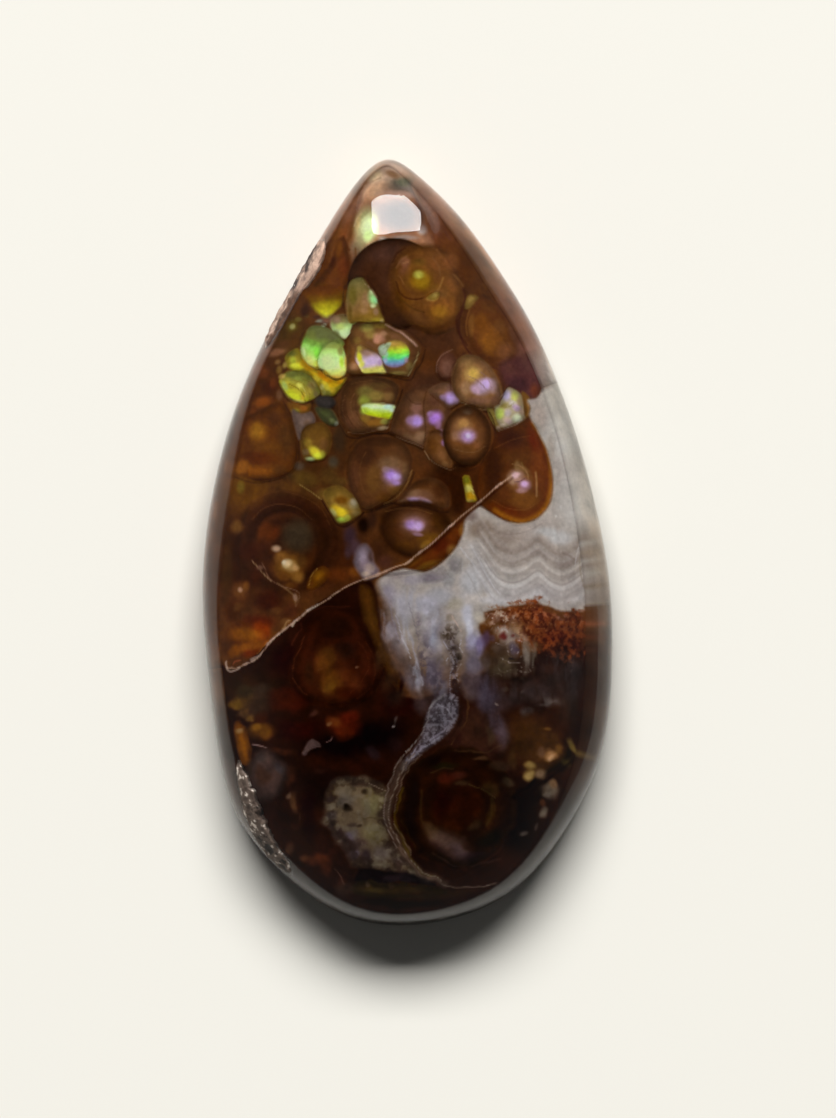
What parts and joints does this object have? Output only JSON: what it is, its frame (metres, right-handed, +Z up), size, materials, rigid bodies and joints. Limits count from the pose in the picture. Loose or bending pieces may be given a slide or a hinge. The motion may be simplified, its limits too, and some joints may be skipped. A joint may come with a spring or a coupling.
{
  "type": "fire agate cabochon",
  "caption": "polished pear-shaped fire agate gemstone with a domed clear top, bubbly iridescent layers inside and a flat base that it rests on",
  "frame": {"origin": "on the flat base, in the middle of the stone's box", "axes": "+Y to the pear's tip along its length, +X across its width, +Z up through the polished dome"},
  "size_m": [0.0306, 0.057, 0.0102],
  "materials": {
    "polished_agate": "glassy polish over clear brown chalcedony, with iridescent layers below"
  },
  "bodies": {
    "root": {"fire_agate_cabochon": "polished_agate"}
  },
  "joints": []
}
